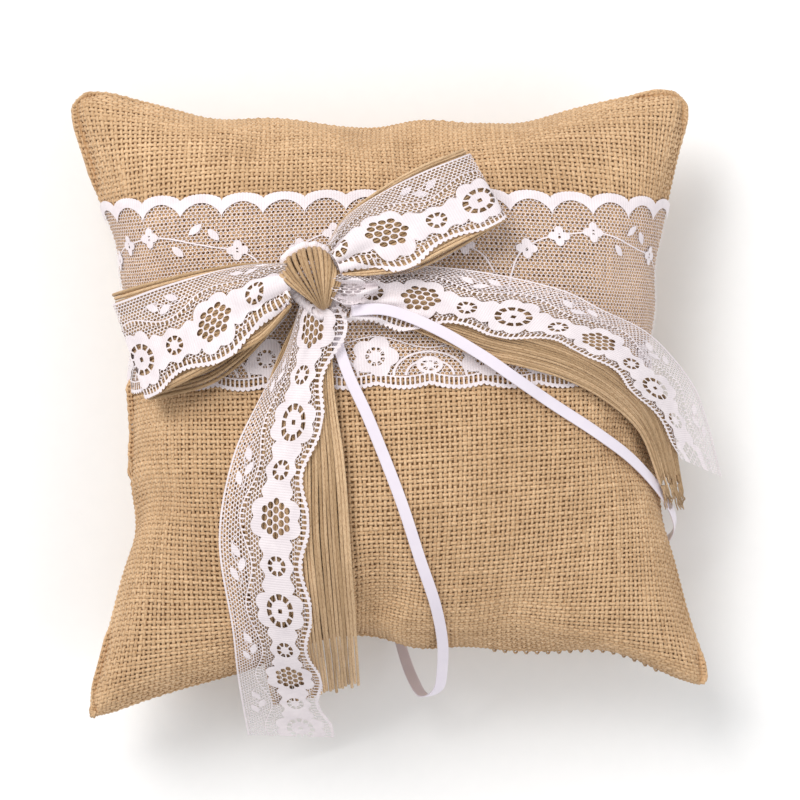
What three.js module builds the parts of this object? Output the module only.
// Ring bearer pillow: a small burlap cushion lying on its back, face up.
// Millimetres, +X to the wearer's right of the face, +Y to the top edge, +Z up from the table.
// The origin is on the flat patch that the cushion rests on, under its middle.
import * as THREE from 'three';

// ---- driving dimensions -------------------------------------------------------------------
const HALF = 75;                 // half the distance between neighbouring corners
const SEAM_Z = 24;               // height of the edge seam above the table
const CROWN = 34;                // rise of the face above the seam
const BELLY = 30;                // drop of the back below the seam, before the table flattens it
const SIDE_PULL = 0.16;          // share by which the left and right sides pull in
const SIDE_BIAS = -0.015;        // the right side pulls in a little less than the left
const END_PULL = 0.146;          // share by which the top and bottom sides pull in
const END_BIAS = -0.043;         // the bottom pulls in more than the top
const PULL_POWER = 1.17;         // how suddenly the pull fades towards the corners
const LEAN = -2.4;               // sideways slip of the top edge against the middle
const TWIST = 3.5;               // rise of the right bottom corner, fall of the left one
const CLOTH = 1.0;               // burlap thickness
const SEAM_GAP = 0.7;            // half the slot between the two covers at the seam
const STUFFING_INSET = 1.9;      // clear of the covers' inner faces
const CUSHION_STEPS = 20;

const DRAPE_EDGE = 0.93;         // past this share of the half width a laid ribbon runs straight
const LACE_THICK = 0.4;
const JUTE_THICK = 1.2;
const ON_CLOTH = 1.0;            // mid heights of the layers laid on the face
const ON_BAND = 1.8;
const JUTE_LIFT = 2.4;
const LACE_OVER_JUTE = 1.15;     // lace mid surface above the jute mid surface
const BAND_LIFT = 0.85;
const BAND_TOP = 48.5;
const BAND_BOTTOM = 2.2;

const KNOT = new THREE.Vector3(-18, 28, 61);
const KNOT_WIDE = 14;
const KNOT_HIGH = 9.4;
const TIE_WIDTH = 2.7;
const TIE_THICK = 0.6;

const COLOUR = { burlap: 0xd2b08a, jute: 0xb5916c, lace: 0xeee2ec, satin: 0xf0e6f5,
  fibre: 0xf2f0ea, thread: 0xc9ab82 };

// ---- the cushion's form -------------------------------------------------------------------
const { max, abs, sqrt, sin, cos, PI } = Math;
const mix = (a, b, t) => a + (b - a) * t;
const smoothMax = (a, b, width) => 0.5 * (a + b + sqrt((a - b) ** 2 + width ** 2));
const smoothStep = (t) => THREE.MathUtils.smoothstep(t, 0, 1);
const pull = (t) => max(0, 1 - t * t) ** PULL_POWER;
const round = (t) => sqrt(max(0, 1 - t * t));

// Plan position of the cushion point (u, v), each from -1 to 1 between opposite seams.
function plan(u, v, half = HALF) {
  return [
    half * u * (1 - (SIDE_PULL + SIDE_BIAS * u) * pull(v)) + LEAN * v,
    half * v * (1 - (END_PULL + END_BIAS * v) * pull(u)) + TWIST * u * (1 - v) / 2,
  ];
}

// The (u, v) whose plan position is (x, y), by repeated substitution.
function unplan(x, y) {
  let u = x / HALF;
  let v = y / HALF;
  for (let i = 0; i < 30; i += 1) {
    u = (x - LEAN * v) / (HALF * (1 - (SIDE_PULL + SIDE_BIAS * u) * pull(v)));
    v = (y - TWIST * u * (1 - v) / 2) / (HALF * (1 - (END_PULL + END_BIAS * v) * pull(u)));
  }
  return [u, v];
}

// A quarter circle that leaves along its tangent past DRAPE_EDGE, as laid cloth does.
function overEdge(t) {
  const edge = sqrt(1 - DRAPE_EDGE ** 2);
  return abs(t) < DRAPE_EDGE ? sqrt(1 - t * t) : edge - (DRAPE_EDGE / edge) * (abs(t) - DRAPE_EDGE);
}

// Height of cloth laid over the face at plan (x, y), and a point lifted clear of it.
function drape(x, y) {
  const [u, v] = unplan(x, y);
  return SEAM_Z + CROWN * overEdge(u) * overEdge(v);
}

function laid(x, y, lift) {
  const slopeX = drape(x + 0.5, y) - drape(x - 0.5, y);
  const slopeY = drape(x, y + 0.5) - drape(x, y - 0.5);
  return new THREE.Vector3(x, y, drape(x, y) + lift * sqrt(1 + slopeX ** 2 + slopeY ** 2));
}

// ---- solids from surfaces -----------------------------------------------------------------
function finish(name, geometry, slot, roughness = 0.9) {
  geometry.deleteAttribute('normal');
  geometry.deleteAttribute('uv');
  geometry.computeVertexNormals();
  const material = new THREE.MeshStandardMaterial({ color: COLOUR[slot], roughness, metalness: 0 });
  const mesh = new THREE.Mesh(geometry, material);
  mesh.name = name;
  return mesh;
}

// Moves every vertex of a unit box (s, t, w from -1/2 to 1/2) to place(s, t, w).
function bentBox(place, stepsS, stepsT) {
  const geometry = new THREE.BoxGeometry(1, 1, 1, stepsS, stepsT, 1);
  const position = geometry.attributes.position;
  for (let i = 0; i < position.count; i += 1) {
    const p = place(position.getX(i), position.getY(i), position.getZ(i));
    position.setXYZ(i, p.x, p.y, p.z);
  }
  return geometry;
}

// A sheet of even thickness whose middle follows surface(s, t), s in 0..1 and t in -1..1.
function sheet(surface, thickness, stepsS, stepsT, offset = 0) {
  const normal = (s, t) => {
    const alongS = surface(s + 0.005, t).sub(surface(s - 0.005, t));
    const alongT = surface(s, t + 0.02).sub(surface(s, t - 0.02));
    return alongS.cross(alongT).normalize();
  };
  const place = (s, t, w) => {
    const n = normal(s + 0.5, t * 2);
    return surface(s + 0.5, t * 2).addScaledVector(n, offset + w * thickness);
  };
  return bentBox(place, stepsS, stepsT);
}

// A flat ribbon with an eight-sided section, carried along a curve with its face to up(s).
function flatCord(curve, up, width, thickness, steps) {
  const geometry = new THREE.CylinderGeometry(1, 1, 1, 8, steps);
  const position = geometry.attributes.position;
  for (let i = 0; i < position.count; i += 1) {
    const s = 0.5 + position.getY(i);
    const tangent = curve.getTangent(s);
    const side = new THREE.Vector3().crossVectors(tangent, up(s)).normalize();
    const face = new THREE.Vector3().crossVectors(side, tangent);
    const p = curve.getPoint(s).addScaledVector(side, position.getX(i) * width / 2);
    p.addScaledVector(face, position.getZ(i) * thickness / 2);
    position.setXYZ(i, p.x, p.y, p.z);
  }
  return geometry;
}

function curveOf(points) {
  return new THREE.CatmullRomCurve3(points.map(([x, y, z = 0]) => new THREE.Vector3(x, y, z)));
}

// ---- cushion ------------------------------------------------------------------------------
// One cover: a shell of burlap from the edge seam over the face, or down under the back.
function coverPoint(u, v, inset, face) {
  const [x, y] = plan(u, v, HALF - inset);
  const bulge = round(u) * round(v);
  const z = face
    ? SEAM_Z + SEAM_GAP + (CROWN - SEAM_GAP - inset) * bulge
    : max(inset, SEAM_Z - SEAM_GAP - (BELLY - SEAM_GAP - inset) * bulge);
  return new THREE.Vector3(x, y, z);
}

function cover(name, face) {
  const place = (s, t, w) => {
    const outer = (w > 0) === face;
    return coverPoint(sin(PI * s), sin(PI * t), outer ? 0 : CLOTH, face);
  };
  return finish(name, bentBox(place, CUSHION_STEPS, CUSHION_STEPS), 'burlap');
}

function stuffing() {
  const gap = SEAM_GAP - 0.3;
  const place = (s, t, w) => {
    const p = coverPoint(sin(PI * s), sin(PI * t), STUFFING_INSET, w > 0);
    p.z -= Math.sign(w) * (SEAM_GAP - gap);
    if (w < 0) p.z = max(p.z, STUFFING_INSET);
    return p;
  };
  return finish('stuffing', bentBox(place, CUSHION_STEPS, CUSHION_STEPS), 'fibre', 1);
}

// Sewing thread laid in the slot between the covers, once round, ends not quite meeting.
function edgeSeamThread() {
  const inset = 0.5;
  const lap = 0.004;
  const points = [];
  const steps = 96;
  for (let i = 0; i <= steps; i += 1) {
    const turn = mix(lap, 4 - lap, i / steps);
    const along = 2 * (turn % 1) - 1;
    const side = Math.floor(turn);
    const [u, v] = [[along, -1], [1, along], [-along, 1], [-1, -along]][side];
    points.push([...plan(u, v, HALF - inset), SEAM_Z]);
  }
  const geometry = flatCord(curveOf(points), () => new THREE.Vector3(0, 0, 1), 0.7, 0.7, 110);
  return finish('edge_seam_thread', geometry, 'thread');
}

// Hand stitches that close the turning gap in the bottom edge, as one zigzag of thread.
function closingStitches() {
  const points = [];
  const stitches = 10;
  for (let i = 0; i <= 2 * stitches; i += 1) {
    const u = mix(0.42, 0.8, i / (2 * stitches));
    const [x, y] = plan(u, -1);
    points.push([x, y - 0.75, SEAM_Z + (i % 2 ? 1.1 : -1.1)]);
  }
  const geometry = flatCord(curveOf(points), () => new THREE.Vector3(0, -1, 0), 0.5, 0.5, 48);
  return finish('closing_stitches', geometry, 'thread');
}

// Wide lace over the face, its ends caught in the side seams.
function laceBand() {
  const surface = (s, t) => {
    const u = sin(PI / 2 * mix(-0.92, 0.92, s));
    const y = mix(BAND_BOTTOM, BAND_TOP, (t + 1) / 2);
    let v = y / HALF;
    for (let i = 0; i < 20; i += 1) {
      v = (y - TWIST * u * (1 - v) / 2) / (HALF * (1 - (END_PULL + END_BIAS * v) * pull(u)));
    }
    const [x] = plan(u, v);
    return new THREE.Vector3(x, y, SEAM_Z + CROWN * round(u) * round(v));
  };
  return finish('lace_band', sheet(surface, LACE_THICK, 30, 8, BAND_LIFT), 'lace');
}

// ---- bow ----------------------------------------------------------------------------------
// A loop of ribbon: out from the knot underneath, round its end and back on top.
// outline: upper and lower edges in plan from the knot outwards; heights: underside of the loop
// at the knot and at the end; rise: how far the top stands over the underside.
function loopSurface({ upper, lower, underLower, heights, rise }) {
  const [top, bottom, below] = [upper, lower, underLower].map(curveOf);
  return (s, t) => {
    const a = THREE.MathUtils.clamp(sin(PI * s), 0, 1);
    const over = (1 - cos(PI * s)) / 2;
    const high = top.getPointAt(a);
    const low = below.getPointAt(a).lerp(bottom.getPointAt(a), over);
    const p = low.lerp(high, (t + 1) / 2);
    const under = mix(heights[0], heights[1], a ** 1.4);
    const rest = laid(p.x, p.y, JUTE_LIFT).z;
    p.z = smoothMax(under, rest, 1) + over * mix(rise[0], rise[1], a);
    return p;
  };
}

const LEFT_LOOP = {
  upper: [[-28.5, 31.5], [-41, 29.5], [-54, 27], [-65.5, 24]],
  lower: [[-28.5, 25], [-36, 12.5], [-46, 6], [-56.5, 0.5]],
  underLower: [[-28.5, 24], [-35, 9], [-44, 2.5], [-56, -0.5]],
  heights: [59, 38],
  rise: [3.5, 9],
};
const RIGHT_LOOP = {
  upper: [[-10, 37], [-1, 46], [7, 52], [17.5, 57.5]],
  lower: [[-8, 32.5], [3, 33], [14, 38.5], [27, 42.5]],
  underLower: [[-8, 32], [3.5, 32], [15, 36.5], [27, 41.5]],
  heights: [59.5, 50],
  rise: [3.5, 9],
};

function loops() {
  const flip = (surface) => (s, t) => surface(s, -t);
  const left = loopSurface(LEFT_LOOP);
  const right = flip(loopSurface(RIGHT_LOOP));
  const make = (side, surface) => [
    finish(`jute_loop_${side}`, sheet(surface, JUTE_THICK, 26, 4), 'jute'),
    finish(`lace_loop_${side}`, sheet(surface, LACE_THICK, 26, 4, LACE_OVER_JUTE), 'lace', 0.7),
  ];
  return [...make('left', left), ...make('right', right)];
}

// A tail laid over the face and on over the edge; liftRoot raises it near the knot.
function tailSurface(near, far, lift, liftRoot) {
  const [one, two] = [near, far].map(curveOf);
  return (s, t) => {
    const a = THREE.MathUtils.clamp(s, 0, 1);
    const p = one.getPointAt(a).lerp(two.getPointAt(a), (t + 1) / 2);
    if (s !== a) p.addScaledVector(one.getTangentAt(a), (s - a) * one.getLength());
    return laid(p.x, p.y, lift + liftRoot * (1 - smoothStep(a / 0.16)));
  };
}

function tails() {
  const frontJute = tailSurface(
    [[-21, 17], [-28, 2], [-32.5, -16], [-33.5, -34], [-31, -55], [-28, -73]],
    [[-15.5, 17], [-14.5, 0], [-11.5, -14], [-9.5, -30], [-8, -50], [-7.5, -70]],
    JUTE_LIFT, 1.6,
  );
  const frontLace = tailSurface(
    [[-20.5, 17.5], [-29, 1], [-36, -16], [-39, -36], [-36.5, -58], [-35, -78]],
    [[-11.5, 17.5], [-13.5, 4], [-17.5, -18], [-18.5, -38], [-17.5, -60], [-14, -82]],
    JUTE_LIFT + LACE_OVER_JUTE, 1.6,
  );
  const rightJute = tailSurface(
    [[-6, 15], [8, 11], [21, 6.5], [40, 3], [50, -0.5], [60, -8], [65.5, -23]],
    [[-6, 25], [12, 26], [30, 24], [46, 19], [58, 11], [66.5, 0], [71, -24]],
    JUTE_LIFT, 1,
  );
  const rightLace = tailSurface(
    [[-6, 15.5], [12, 17], [30.5, 14.5], [42, 13.5], [51, 7.5], [60, -0.5], [70, -13.5]],
    [[-6, 27], [3, 29.5], [21, 29.5], [40, 25.5], [62, 15.5], [73, 4.5], [81, -19]],
    JUTE_LIFT + LACE_OVER_JUTE, 1,
  );
  return [
    finish('jute_tail_front', sheet(frontJute, JUTE_THICK, 26, 4), 'jute'),
    finish('lace_tail_front', sheet(frontLace, LACE_THICK, 26, 4), 'lace', 0.7),
    finish('jute_tail_right', sheet(rightJute, JUTE_THICK, 26, 4), 'jute'),
    finish('lace_tail_right', sheet(rightLace, LACE_THICK, 26, 4), 'lace', 0.7),
  ];
}

// A ring round the bow's pinched middle, open along X, with rounded edges: outer and inner
// ovals and its length along X. Without an inner oval it is the solid middle itself.
function knotRing(name, outer, inner, length, slot) {
  const bevel = 0.8;
  const shift = inner ? 1 : 0;
  const end = length / 2;
  const wall = [[0, -end], [0.7, -end], [1, bevel - end], [1, end - bevel], [0.7, end], [0, end]];
  const profile = wall.map(([across, along]) => new THREE.Vector2(across + shift, along));
  if (inner) profile.push(profile[0].clone());
  const geometry = new THREE.LatheGeometry(profile, 28);
  const position = geometry.attributes.position;
  for (let i = 0; i < position.count; i += 1) {
    const [x, z] = [position.getX(i), position.getZ(i)];
    const reach = sqrt(x * x + z * z);
    const [sizeY, sizeZ] = [0, 1].map((k) => mix(inner ? inner[k] : 0, outer[k], reach - shift) / 2);
    const place = reach < 1e-6 ? [0, 0] : [sizeY * x / reach, -sizeZ * z / reach];
    position.setXYZ(i, KNOT.x + position.getY(i), KNOT.y + place[0], KNOT.z + place[1]);
  }
  return finish(name, geometry, slot);
}

function knot() {
  const tack = new THREE.CylinderGeometry(1.4, 1.4, 0.9, 12);
  tack.rotateX(PI / 2);
  tack.translate(KNOT.x, KNOT.y, KNOT.z - KNOT_HIGH / 2 - 0.8);
  return [
    knotRing('knot_wrap_jute', [KNOT_WIDE, KNOT_HIGH], [11, 6.6], 11, 'jute'),
    knotRing('knot_wrap_lace', [10.3, 5.9], [7.6, 3.5], 14, 'lace'),
    knotRing('gathered_middle', [6.9, 2.8], null, 16, 'lace'),
    finish('tack_thread', tack, 'thread'),
  ];
}

// ---- ring ties ----------------------------------------------------------------------------
// Narrow satin strands for the rings. Each row is x, y and the height: a lift above the face
// while the strand lies on it, then a height above the table.
const TIE_LEFT_ON_FACE = [[-12.5, 15, ON_BAND], [-9.2, 5.5, ON_BAND], [-4.4, -5, ON_CLOTH],
  [2.6, -22.8, ON_CLOTH], [7.3, -37.2, ON_CLOTH], [11, -48.3, ON_CLOTH], [12.8, -57.5, ON_CLOTH]];
const TIE_LEFT_BELOW = [[12.9, -65, 26], [12, -70.5, 19.5], [8.5, -72.5, 14.5],
  [5.5, -68, 10], [3, -61, 6], [1, -54, 2.5], [0, -47, 0.6]];
const TIE_RIGHT_ON_FACE = [[-8.6, 20.5, 6.2], [-1.5, 20.8, 5.8], [5, 19, 5], [13.2, 15.2, 4.7],
  [22.5, 9.7, 4.5], [29.5, 4.9, 4.3], [38, -0.8, 1.6], [49.4, -8.1, ON_CLOTH], [58, -14.5, ON_CLOTH]];
const TIE_RIGHT_BELOW = [[65.5, -22.5, 32.5], [69, -28.5, 24], [69.5, -32.5, 14.5],
  [67.5, -35.5, 6.5], [63, -37, 1.8], [57, -37.5, 0.6]];

function tie(name, onFace, below, steps) {
  const laidPoints = onFace.map(([x, y, lift]) => laid(x, y, lift).toArray());
  const curve = curveOf([...laidPoints, ...below]);
  const share = onFace.length / (onFace.length + below.length - 1);
  const out = curve.getPoint(share).setZ(0).normalize();
  const up = (s) => {
    const p = curve.getPoint(THREE.MathUtils.clamp(s, 0, 1));
    const face = laid(p.x + 0.5, p.y, 0).sub(laid(p.x - 0.5, p.y, 0));
    face.cross(laid(p.x, p.y + 0.5, 0).sub(laid(p.x, p.y - 0.5, 0))).normalize();
    const turn = smoothStep((s - share * 0.92) / (1 - share * 0.92)) * PI;
    return turn === 0 ? face : out.clone().multiplyScalar(sin(turn)).addScaledVector(face, cos(turn));
  };
  return finish(name, flatCord(curve, up, TIE_WIDTH, TIE_THICK, steps), 'satin', 0.35);
}

const pillow = new THREE.Group();
pillow.add(cover('cover_front', true), cover('cover_back', false), stuffing());
pillow.add(edgeSeamThread(), closingStitches(), laceBand());
pillow.add(...knot(), ...loops(), ...tails());
pillow.add(tie('ring_tie_left', TIE_LEFT_ON_FACE, TIE_LEFT_BELOW, 36));
pillow.add(tie('ring_tie_right', TIE_RIGHT_ON_FACE, TIE_RIGHT_BELOW, 36));

export default pillow;
